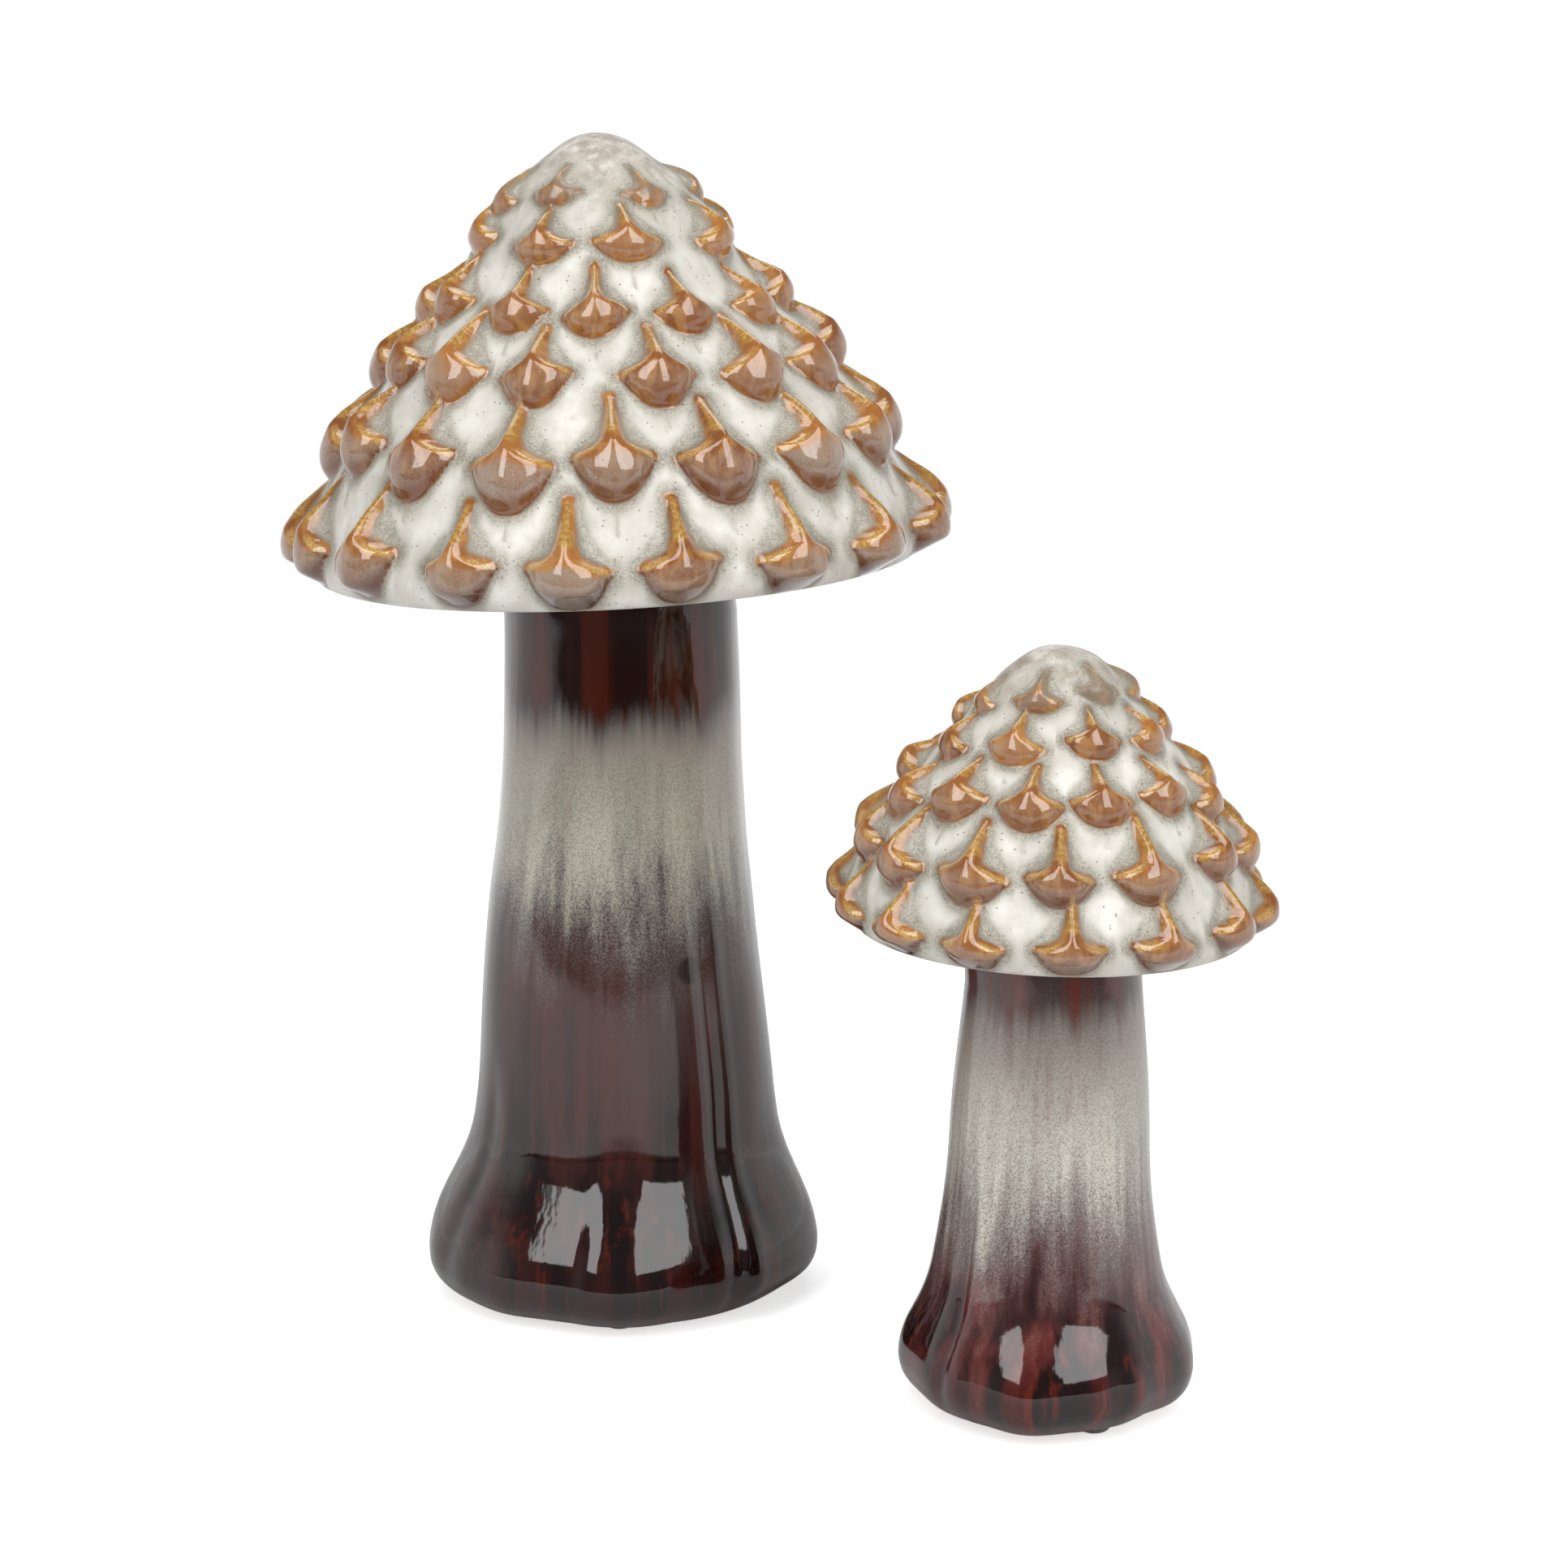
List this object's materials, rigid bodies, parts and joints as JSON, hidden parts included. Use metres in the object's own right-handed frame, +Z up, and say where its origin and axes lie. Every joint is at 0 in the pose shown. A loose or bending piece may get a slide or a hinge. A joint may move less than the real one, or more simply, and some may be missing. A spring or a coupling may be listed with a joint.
{
  "type": "ceramic mushroom ornament set",
  "caption": "A tall and a short glazed ceramic mushroom that stand side by side, each with a conical cap of pointed scales on a flared stem.",
  "frame": {"origin": "middle of the set's footprint, on the surface that both mushrooms stand on", "axes": "+Z up along both stems, +X to the viewer's right from the tall mushroom towards the short one, -Y towards the viewer"},
  "size_m": [0.2112, 0.1936, 0.2599],
  "materials": {
    "stem_glaze": "high gloss oxblood glaze with an oatmeal band",
    "cap_glaze": "high gloss cream glaze that breaks to amber on raised edges",
    "bond": "matte",
    "clear_bumper": "clear"
  },
  "bodies": {
    "tall_mushroom": {"tall_stem": "stem_glaze", "tall_cap": "cap_glaze", "tall_joint_ring": "bond", "tall_bumper_feet": "clear_bumper"},
    "short_mushroom": {"short_stem": "stem_glaze", "short_cap": "cap_glaze", "short_joint_ring": "bond", "short_bumper_feet": "clear_bumper"}
  },
  "joints": [
    {"name": "short_set_aside", "type": "slide", "parent": "tall_mushroom", "child": "short_mushroom", "axis": [1, 0, 0], "range_m": [0, 0.15]}
  ]
}
